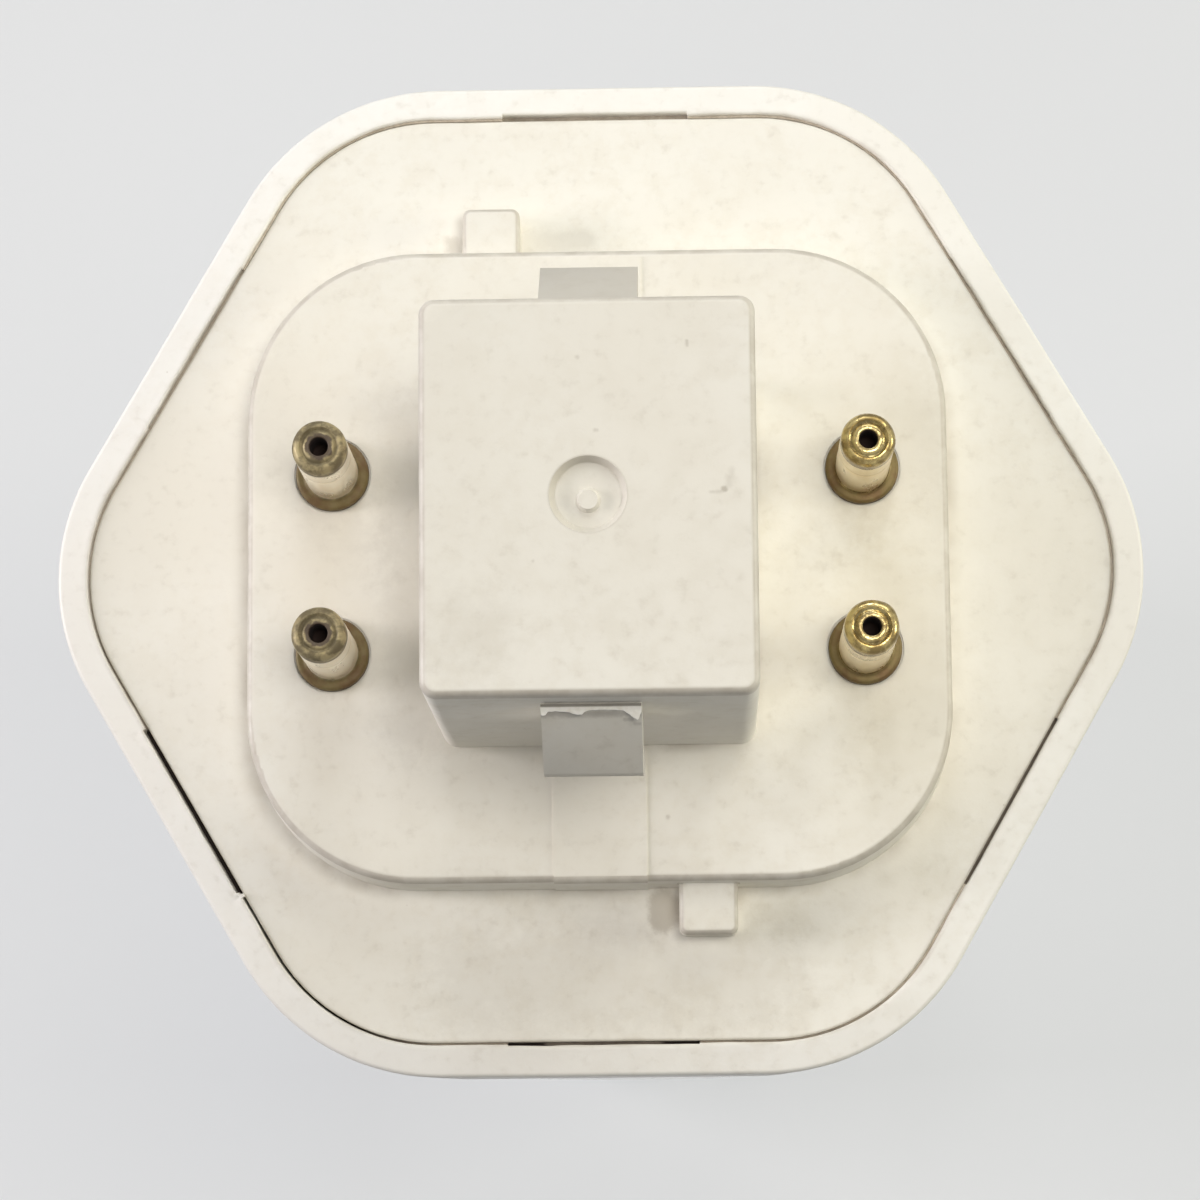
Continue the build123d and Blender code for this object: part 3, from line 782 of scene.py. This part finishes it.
def make_housing(material):
    """The hexagonal cup: cavity with ribs and pockets, an uneven rim, tapered walls and a pierced floor."""
    shape = bmesh.new()
    built = [add_ring(shape, [uneven(*point) for point in ring]) for ring in housing_rings()]
    for first, second in zip(built, built[1:]):
        join_rings(shape, first, second)
    # Floor with its six leg holes
    edge_loops = []
    for z, outline in ((TUBE_PLATE_Z, built[0]), (HOUSING_FOOT_Z, built[-1])):
        loops = []
        for leg in range(6):
            centre_x = LEG_CIRCLE * math.cos(math.radians(60 * leg))
            centre_y = LEG_CIRCLE * math.sin(math.radians(60 * leg))
            hole = add_ring(shape, [
                (
                    centre_x + LEG_HOLE * math.cos(2 * math.pi * step / HOLE_STEPS),
                    centre_y + LEG_HOLE * math.sin(2 * math.pi * step / HOLE_STEPS),
                    z,
                )
                for step in range(HOLE_STEPS)
            ])
            loops.append(hole)
        edges = []
        for loop in [outline] + loops:
            for index, vert in enumerate(loop):
                after = loop[(index + 1) % len(loop)]
                edges.append(shape.edges.get((vert, after)) or shape.edges.new((vert, after)))
        bmesh.ops.triangle_fill(shape, edges=edges, use_beauty=True)
        edge_loops.append(loops)
    for upper, lower in zip(*edge_loops):
        join_rings(shape, upper, lower)
    piece = finish_piece("housing_shell", shape, material, crease=40)
    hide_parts("housing")


def seam_level(side, station, turn, x, y):
    """Height of the dirt in the seam at a station of a side.

    station is None in the corner after that side, and turn then runs from 0 to 1 round the corner.
    """
    ragged = 0.05 * wander(x, y, 0.0, 0.9, 2.0) + 0.03 * wander(x, y, 0.0, 3.5, 6.0)
    before, inside, after = SEAM_LEVELS[side]
    if station is None:
        following = SEAM_LEVELS[(side + 1) % 6][0]
        return after + (following - after) * turn + ragged
    if side == SLOT_END_SIDE and SLOT_END_START < abs(station) < SLOT_HALF:
        return SLOT_END_LEVEL + ragged
    if abs(station) < SLOT_HALF:
        return inside + ragged
    return (before if station < 0 else after) + ragged


def make_seam_dirt(material):
    """Dust packed in the gap between the plate and the rim, of uneven height."""
    shape = bmesh.new()
    stations = rim_stations()
    reach = RIM_INNER_HALF - SEAM_PLAY

    def slot_only(side, station, z):
        return SLOT_DEPTHS[side] if abs(station) < SLOT_HALF else 0.0

    inner_corner = PLATE_HEX_CORNER + SEAM_PLAY
    inner = hexagon_ring(PLATE_HALF + SEAM_PLAY, inner_corner, SEAM_OUTLINE_Z, stations)
    outer = hexagon_ring(reach, RIM_INNER_CORNER - SEAM_PLAY, SEAM_OUTLINE_Z, stations, slot_only)
    per_side = len(stations) + CORNER_STEPS + 1
    low_inner, high_inner, high_outer, low_outer = [], [], [], []
    for index, (near, far) in enumerate(zip(inner, outer)):
        side, place = divmod(index, per_side)
        station = stations[place] if place < len(stations) else None
        turn = (place - len(stations)) / CORNER_STEPS
        top = seam_level(side, station, turn, far[0], far[1])
        edge = uneven(*far)
        low_inner.append((near[0], near[1], SEAM_DIRT_FOOT_Z))
        high_inner.append((near[0], near[1], top + SEAM_LEAN))
        high_outer.append((edge[0], edge[1], top))
        low_outer.append((edge[0] * SEAM_FOOT_SHRINK, edge[1] * SEAM_FOOT_SHRINK, SEAM_DIRT_FOOT_Z))
    rings = [add_ring(shape, ring) for ring in (low_inner, high_inner, high_outer, low_outer)]
    for first, second in zip(rings, rings[1:] + rings[:1]):
        join_rings(shape, first, second)
    finish_piece("seam_dirt_and_shade", shape, material, crease=50)


def make_latch_flash(material):
    """Thin jagged flash along the lower latch's ledge, with a flake curled up at its right end."""
    shape = bmesh.new()
    edge = []
    for (x, y), (next_x, next_y) in zip(FLASH_COURSE, FLASH_COURSE[1:]):
        for step in range(FLASH_STEPS):
            share = step / FLASH_STEPS
            across = x + (next_x - x) * share
            jag = 0.022 * wander(across, 0.0, 0.0, 7.0, 1.0) + 0.012 * wander(across, 0.0, 0.0, 21.0, 2.0)
            edge.append((across, max(FLASH_LEAST, y + (next_y - y) * share + jag)))
    rows = [[], [], [], [], []]
    for x, y in edge:
        over = max(0.0, y - FLASH_FOLD)
        lift = 0.05 + 0.35 * over + 0.015 * wander(x, y, 0.0, 3.0, 4.0)
        rows[0].append((x, FLASH_ROOT_Y, LATCH_LEDGE_Z + 0.004))
        rows[1].append((x, FLASH_ROOT_Y, LATCH_LEDGE_Z + 0.03))
        rows[2].append((x, FLASH_BEND_Y, LATCH_LEDGE_Z + 0.05))
        rows[3].append((x, 0.015 - y, LATCH_LEDGE_Z + 0.02 + lift))
        rows[4].append((x, -y, LATCH_LEDGE_Z - 0.01 + lift))
    strips = [add_ring(shape, row) for row in rows]
    for first, second in zip(strips, strips[1:] + strips[:1]):
        join_rings(shape, first, second, closed=False)
    shape.faces.new([strip[0] for strip in strips])
    shape.faces.new([strip[-1] for strip in reversed(strips)])
    finish_piece("latch_flash_painted_light", shape, material, crease=40)


def pin_profile():
    """Radius and height along a pin, from the floor of the tip's hole round to the top of the bore."""
    profile = [(0.0, 4.8), (0.2, 4.8), (0.34, 4.82), (PIN_HOLE_RADIUS, 4.9)]
    profile += [(PIN_HOLE_RADIUS, z) for z in (5.1, 5.4, 5.7, 6.0, 6.3, 6.42)]
    for step in range(1, 6):
        cosine, sine = quarter(step, 5)
        profile.append((PIN_HOLE_RADIUS + 0.07 * (1 - cosine), PIN_TOP_Z - 0.08 + 0.07 * sine))
    profile += [(0.55, 6.495), (0.6, 6.48), (0.64, 6.45), (0.68, 6.42), (0.72, 6.4), (0.76, 6.42)]
    profile += [(0.8, 6.45), (0.83, 6.475)]
    for step in range(10):
        cosine, sine = quarter(step, 9)
        profile.append((TIP_ROUND_START + TIP_ROUND * sine, 6.08 + TIP_ROUND_DROP * cosine))
    # Shank with its fine turned line
    profile += [(PIN_RADIUS, z) for z in (5.8, 5.3, 4.8, 4.5)]
    profile += [(1.148, 4.3), (1.14, 4.25), (1.11, 4.22), (1.09, PIN_LINE_Z), (1.11, 4.18)]
    profile += [(1.14, 4.15), (1.148, 4.1)]
    profile += [(PIN_RADIUS, z) for z in (3.8, 3.3, 2.8, 2.3, 1.8, 1.3, 0.8, 0.6)]
    # Flange, tail, riveted end and bore
    profile += [(1.16, 0.5), (1.185, 0.43), (1.23, 0.375), (1.29, 0.352), (1.36, 0.35)]
    for step in range(7):
        cosine, sine = quarter(step, 6)
        profile.append((1.415 + 0.16 * sine, 0.19 + 0.16 * cosine))
    profile += [(1.575, 0.1), (1.575, -0.02), (1.55, -0.09), (1.53, -0.1), (TAIL_RADIUS, -0.1)]
    profile += [(TAIL_RADIUS, z) for z in (-1.0, -2.5, -4.0, -5.5, -6.0)]
    profile += [(1.58, -6.0), (1.6, -6.02), (1.52, -6.18), (1.425, -6.35), (0.6, -6.35), (BORE_RADIUS, -6.3)]
    profile += [(BORE_RADIUS, z) for z in (-5.0, -3.0, -1.0, 0.9)]
    return profile + [(0.5, 1.0), (0.3, 1.0), (0.0, 1.0)]


def make_pin(number, material):
    """One turned and rolled pin, a little out of round. Solder closes the hole in its tip."""
    shape = bmesh.new()
    centre_x, centre_y = PIN_PLACES[number - 1]
    profile = pin_profile()
    rings = []
    for radius, z in profile[1:-1]:
        points = []
        for step in range(PIN_STEPS):
            turn = 2 * math.pi * step / PIN_STEPS
            x, y = math.cos(turn), math.sin(turn)
            free = 1.0 if z > 0.0 and radius > PIN_HOLE_RADIUS + 0.01 else 0.0
            dent = free * (0.012 * wander(x, y, z, 1.3, 7.0 * number) - 0.014)
            bump = 0.0
            if number == BUMPED_PIN and BUMP_LOW_Z < z < BUMP_HIGH_Z and radius > 0.85:
                rise = math.sin(math.pi * (z - BUMP_LOW_Z) / (BUMP_HIGH_Z - BUMP_LOW_Z))
                facing = max(0.0, math.cos(turn - math.radians(BUMP_BEARING)))
                bump = BUMP_HEIGHT * rise * facing ** 14
            reach = radius + dent * min(1.0, radius) + bump
            level = z - 0.012 * free * abs(wander(x, y, 0.0, 1.7, 3.0 * number)) if z > 6.2 else z
            points.append((centre_x + reach * x, centre_y + reach * y, level))
        rings.append(add_ring(shape, points))
    for first, second in zip(rings, rings[1:]):
        join_rings(shape, first, second)
    for (radius, z), ring in ((profile[0], rings[0]), (profile[-1], rings[-1])):
        pole = shape.verts.new(Vector((centre_x, centre_y, z)) * MM)
        for index, vert in enumerate(ring):
            shape.faces.new((pole, vert, ring[(index + 1) % PIN_STEPS]))
    piece = finish_piece(f"turned_pin_{number}", shape, material, crease=50)
    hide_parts(f"contact_pin_{number}")


def remade(node_name, crease, material):
    """The node's own surface as a new piece, its doubled vertices merged and its shading made anew."""
    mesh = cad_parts[node_name].data.copy()
    mesh.name = f"{node_name}_finish"
    mesh.materials.clear()
    mesh.materials.append(material)
    shape = bmesh.new()
    shape.from_mesh(mesh)
    bmesh.ops.remove_doubles(shape, verts=shape.verts, dist=0.0002 * MM)
    bmesh.ops.dissolve_degenerate(shape, edges=shape.edges, dist=0.0002 * MM)
    for face in shape.faces:
        face.smooth = True
    keep_creases(shape, crease)
    shape.to_mesh(mesh)
    shape.free()
    piece = placed(f"{node_name}_finish", mesh)
    even = piece.modifiers.new("even", "WEIGHTED_NORMAL")
    even.keep_sharp = True
    even.weight = 90
    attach(piece, BODY)
    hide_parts(node_name)


CREAM_LIGHT = (0.88, 0.858, 0.79)
CREAM_DARK = (0.835, 0.8, 0.715)
# The rim's cream is paler than the cap's: painted light, for the brightness the rim catches
RIM_LIGHT = (0.935, 0.922, 0.882)
RIM_DARK = (0.895, 0.87, 0.815)
GRIME_AND_SHADE = (0.4, 0.345, 0.265)
YELLOWED_AND_SHADE = (0.62, 0.56, 0.42)
SMUDGE_AND_SHADE = (0.5, 0.46, 0.39)
SHADE = (0.2, 0.17, 0.14)
EDGE_GREY = (0.5, 0.45, 0.38)
DIRT_AND_SHADE_STRENGTH = 0.42
DIRT_AND_SHADE_OUTLINES = (
    # Half size, corner and centre
    (PLATFORM_HALF, PLATFORM_CORNER, (0.0, 0.0)),
    (KEY_HALF, 0.5, KEY_CENTRES[0]),
    (KEY_HALF, 0.5, KEY_CENTRES[1]),
)
GREY_EDGE_OUTLINES = (
    # Half size, corner, centre, top, depth of the grey edge, and its width on the top
    (PLATFORM_HALF, PLATFORM_CORNER, (0.0, 0.0), 0.0, 0.3, 0.35),
    (POST_HALF, POST_CORNER, (0.0, 0.0), POST_TOP_Z, 0.6, 0.3),
    (KEY_HALF, KEY_CORNER, KEY_CENTRES[0], KEY_TOP_Z, 0.5, 0.13),
    (KEY_HALF, KEY_CORNER, KEY_CENTRES[1], KEY_TOP_Z, 0.5, 0.13),
)
# Brass: each pair is a pin that still shines, then a dull one
TIP_PALE = ((0.62, 0.49, 0.21), (0.36, 0.3, 0.168))
TIP_TARNISH = ((0.28, 0.2, 0.075), (0.13, 0.108, 0.062))
# The shanks' pale cream is partly a painted reflection of the cream plastic round them
SHANK_BRIGHT = ((0.88, 0.755, 0.5), (0.97, 0.91, 0.77))
SHANK_WORN = ((0.76, 0.62, 0.37), (0.91, 0.82, 0.65))
GROOVE_DIRT = (0.11, 0.09, 0.05)
CRUST = (0.06, 0.038, 0.022)
UNDER_TIP_SHADOW = (0.13, 0.1, 0.05)
FLANGE_OLIVE = (0.145, 0.104, 0.032)
FLANGE_RUST = (0.118, 0.064, 0.018)
PIN_DARKENING = (0.06, 0.04, 0.02)
HOLE_DARK = (0.035, 0.02, 0.016)
# The pins on the left are made dull and those on the right shining, a split that is partly painted light
DULL_LEFT = 0.85
DULL_RIGHT = 0.15
CAP_MARKS = (
    # Beside the upper key a darker patch and a painted shadow, beside the lower key a painted shadow with
    # some dirt, painted shade on that key's lower wall, a yellowed stain, painted shade along the plate's
    # lower edge and on the upper key's top
    ((-1.7, 14.75), (1.7, 0.5), -3.0, -2.0, 0.3, 0.28, SMUDGE_AND_SHADE),
    ((-6.25, 14.6), (0.35, 0.5), -3.0, -2.0, 0.25, 0.5, SMUDGE_AND_SHADE),
    ((2.62, -14.75), (0.66, 0.95), -3.0, -2.0, 0.2, 0.78, SMUDGE_AND_SHADE),
    ((4.55, -16.0), (2.0, 0.3), -2.8, -1.25, 0.05, 0.4, SMUDGE_AND_SHADE),
    ((7.94, -15.2), (1.0, 0.8), -3.0, -2.0, 0.4, 0.12, YELLOWED_AND_SHADE),
    ((0.5, -17.6), (8.0, 2.2), -3.0, -2.0, 1.6, 0.2, SMUDGE_AND_SHADE),
    ((-4.55, 14.2), (1.7, 2.0), -1.5, -0.9, 0.2, 0.1, SMUDGE_AND_SHADE),
    # The platform: a greyer upper half, painted shade with a warm yellow cast at its right edge, the post's
    # painted shadow on its left, and a speck
    ((0.0, 7.5), (15.5, 7.0), -0.5, 0.5, 2.0, 0.14, SMUDGE_AND_SHADE),
    ((13.6, -1.0), (2.0, 9.0), -0.5, 0.5, 1.5, 0.16, YELLOWED_AND_SHADE),
    ((-8.0, -0.5), (1.3, 8.0), -0.5, 0.5, 1.0, 0.2, SMUDGE_AND_SHADE),
    ((2.87, -10.99), (0.1, 0.1), -0.5, 0.5, 0.06, 0.45, SMUDGE_AND_SHADE),
    # The post's end: painted shade all over and at its lower left, a scuff with two tails, and specks
    ((0.0, 0.0), (9.0, 9.5), 15.6, 16.5, 0.3, 0.1, SMUDGE_AND_SHADE),
    ((-4.6, -5.4), (1.6, 1.6), 15.0, 16.5, 1.4, 0.16, SMUDGE_AND_SHADE),
    ((5.27, 0.12), (0.13, 0.11), 15.0, 16.5, 0.06, 0.85, SMUDGE_AND_SHADE),
    ((5.45, 0.42), (0.09, 0.24), 15.0, 16.5, 0.12, 0.32, SMUDGE_AND_SHADE),
    ((5.6, 0.75), (0.09, 0.2), 15.0, 16.5, 0.12, 0.26, SMUDGE_AND_SHADE),
    ((4.95, 0.02), (0.26, 0.06), 15.0, 16.5, 0.08, 0.5, SMUDGE_AND_SHADE),
    ((3.91, 5.91), (0.06, 0.16), 15.0, 16.5, 0.06, 0.6, SMUDGE_AND_SHADE),
    ((-0.37, 5.42), (0.07, 0.07), 15.0, 16.5, 0.06, 0.4, SMUDGE_AND_SHADE),
    ((0.34, 2.51), (0.1, 0.06), 15.0, 16.5, 0.06, 0.45, SMUDGE_AND_SHADE),
    ((-2.14, -2.6), (0.07, 0.07), 15.0, 16.5, 0.06, 0.4, SMUDGE_AND_SHADE),
    # The latches: painted shade on the upper ramp; on the lower one, painted shade on the post's wall above
    # the flash, painted shadows under the flash and its flake, and a dark line at its lip
    ((0.0, 9.7), (3.6, 1.5), 10.6, 13.75, 0.05, 0.6, SMUDGE_AND_SHADE),
    ((0.05, -7.9), (1.88, 0.07), 13.79, 14.25, 0.05, 0.42, SHADE),
    ((0.0, -8.26), (1.95, 0.1), 13.0, 13.79, 0.1, 0.4, SHADE),
    ((1.45, -8.47), (0.2, 0.05), 12.6, 13.79, 0.05, 0.25, SHADE),
    ((1.78, -8.62), (0.16, 0.05), 12.6, 13.79, 0.05, 0.3, SHADE),
    ((0.0, -10.35), (2.6, 0.3), 9.5, 10.67, 0.05, 0.25, SMUDGE_AND_SHADE),
)
CAP_SHADE_RINGS = (
    # The dimple's wall in painted shade, heavier at its upper left
    ((0.0, 0.0), 1.42, 0.2, 15.5, 0.58, SMUDGE_AND_SHADE),
)

cap_plastic = moulded_plastic(
    "cap_plastic", CREAM_LIGHT, CREAM_DARK, GRIME_AND_SHADE, seed=3, marks=CAP_MARKS, rings=CAP_SHADE_RINGS,
)
housing_plastic = moulded_plastic("housing_plastic", RIM_LIGHT, RIM_DARK, GRIME_AND_SHADE, seed=21)
remade("cap", 35, cap_plastic)
make_housing(housing_plastic)
make_seam_dirt(packed_dirt_and_shade("seam_dirt_and_shade"))
make_latch_flash(flash_painted_light("latch_flash_painted_light"))
remade("discharge_tube", 50, coated_glass("coated_glass"))
dress("tube_cement", cast_cement("cement"))
wire_finish = tinned_wire("wire")
for number in (1, 2, 3, 4):
    place = PIN_PLACES[number - 1]
    dull = DULL_LEFT if place[0] < 0 else DULL_RIGHT
    make_pin(number, tarnished_brass(f"pin_brass_{number}", place, dull, seed=5 * number))
    dress(f"lead_wire_{number}", wire_finish)

# Stage: a pale floor under the glass, and its light

FLOOR_Z = cad_low.z
FLOOR_SIZE = 6.0
FLOOR_GLOW = (0.83, 0.84, 0.85)
FLOOR_GLOW_SHARE = 0.55
LAMP_SPREAD = 0.36
CARD_RADIUS = 0.09
CARD_WATTS = 0.045
WORLD_LIGHT = 0.11
WORLD_SEEN = 0.8
LAMPS = (
    # Name, bearing, height, distance, watts and colour
    ("left", 176, 15, 0.28, 0.55, (1.0, 0.955, 0.975)),
    ("right", 4, 15, 0.28, 0.31, (1.0, 0.985, 0.83)),
    ("behind", 90, 35, 0.15, 0.062, (0.88, 0.93, 1.0)),
    ("upper_right", 60, 35, 0.28, 0.12, (1.0, 0.95, 0.78)),
    ("overhead", 0, 80, 0.28, 0.28, (1.0, 0.95, 0.86)),
)


def seen_ray(tree):
    """Output that is 1 for what the camera, metal and glass see, and 0 for light on the object."""
    ray = tree.nodes.new("ShaderNodeLightPath")
    seen = ray.outputs["Is Camera Ray"]
    for kind in ("Is Glossy Ray", "Is Transmission Ray"):
        either = tree.nodes.new("ShaderNodeMath")
        either.operation = "MAXIMUM"
        tree.links.new(seen, either.inputs[0])
        tree.links.new(ray.outputs[kind], either.inputs[1])
        seen = either.outputs[0]
    return seen


def make_floor():
    """Plain pale floor that the bulb stands on. Far from the lamps it stays pale, and it keeps shadows."""
    mesh = bpy.data.meshes.new("floor")
    reach = FLOOR_SIZE / 2
    corners = [(x * reach, y * reach, FLOOR_Z) for x, y in ((-1, -1), (1, -1), (1, 1), (-1, 1))]
    mesh.from_pydata(corners, [], [(0, 1, 2, 3)])
    floor = placed("floor", mesh)
    paint = Paint("floor")
    fleck = paint.noise(0.02, detail=2.0)
    colour = paint.mix(paint.band(fleck, 0.3, 0.7), (0.74, 0.75, 0.76), (0.72, 0.73, 0.74))
    paint.set(Base_Color=colour, Roughness=0.8)
    glow = paint.add("ShaderNodeEmission")
    glow.inputs["Color"].default_value = (*FLOOR_GLOW, 1.0)
    blend = paint.add("ShaderNodeMixShader")
    paint.feed(blend.inputs[0], paint.times(seen_ray(paint.tree), FLOOR_GLOW_SHARE))
    paint.tree.links.new(paint.shader.outputs["BSDF"], blend.inputs[1])
    paint.tree.links.new(glow.outputs["Emission"], blend.inputs[2])
    paint.tree.links.new(blend.outputs["Shader"], paint.output.inputs["Surface"])
    mesh.materials.append(paint.material)


def soft_light(name, bearing, height, distance, watts, colour):
    """Square soft light round the cap: bearing is degrees from +X towards +Y, height degrees up."""
    lamp = bpy.data.lights.new(name, "AREA")
    lamp.shape = "SQUARE"
    lamp.size = distance * LAMP_SPREAD
    lamp.energy = watts
    lamp.color = colour
    level = math.cos(math.radians(height))
    place = Vector((
        level * math.cos(math.radians(bearing)),
        level * math.sin(math.radians(bearing)),
        math.sin(math.radians(height)),
    )) * distance
    holder = placed(name, lamp)
    holder.matrix_world = aimed(place, Vector((0.0, 0.0, 0.0)), Vector((0.01, 0.1, 1.0)))
    holder.visible_camera = False


def light_card(watts):
    """Soft light from a round card under the glass. The housing keeps it off the cap above the rim."""
    lamp = bpy.data.lights.new("card", "AREA")
    lamp.shape = "DISK"
    lamp.size = 2 * CARD_RADIUS
    lamp.energy = watts
    holder = placed("card", lamp)
    holder.location = (0.0, 0.0, FLOOR_Z + MM)
    holder.rotation_euler = (math.pi, 0.0, 0.0)
    holder.visible_camera = False
    holder.visible_glossy = False


def make_world(strength, seen):
    """Even light from all round. The camera, metal and glass see the brighter background."""
    world = bpy.data.worlds.new("studio")
    bpy.context.scene.world = world
    world.use_nodes = True
    tree = world.node_tree
    tree.nodes.clear()
    output = tree.nodes.new("ShaderNodeOutputWorld")
    lit = tree.nodes.new("ShaderNodeBackground")
    lit.inputs["Color"].default_value = (1, 1, 1, 1)
    lit.inputs["Strength"].default_value = strength
    shown = tree.nodes.new("ShaderNodeBackground")
    shown.inputs["Color"].default_value = (seen, seen, seen, 1)
    shown.inputs["Strength"].default_value = 1.0
    swap = tree.nodes.new("ShaderNodeMixShader")
    tree.links.new(seen_ray(tree), swap.inputs[0])
    tree.links.new(lit.outputs[0], swap.inputs[1])
    tree.links.new(shown.outputs[0], swap.inputs[2])
    tree.links.new(swap.outputs[0], output.inputs["Surface"])


make_floor()
make_world(WORLD_LIGHT, WORLD_SEEN)
for lamp_values in LAMPS:
    soft_light(*lamp_values)
light_card(CARD_WATTS)

camera = bpy.data.cameras.new("camera")
camera.lens = CAMERA_LENS
camera.sensor_width = CAMERA_SENSOR
camera.clip_start = 0.01
eye = placed("camera", camera)
eye.matrix_world = aimed(CAMERA_PLACE, CAMERA_AIM, CAMERA_UP)
bpy.context.scene.camera = eye
bpy.context.scene.view_settings.view_transform = "Standard"
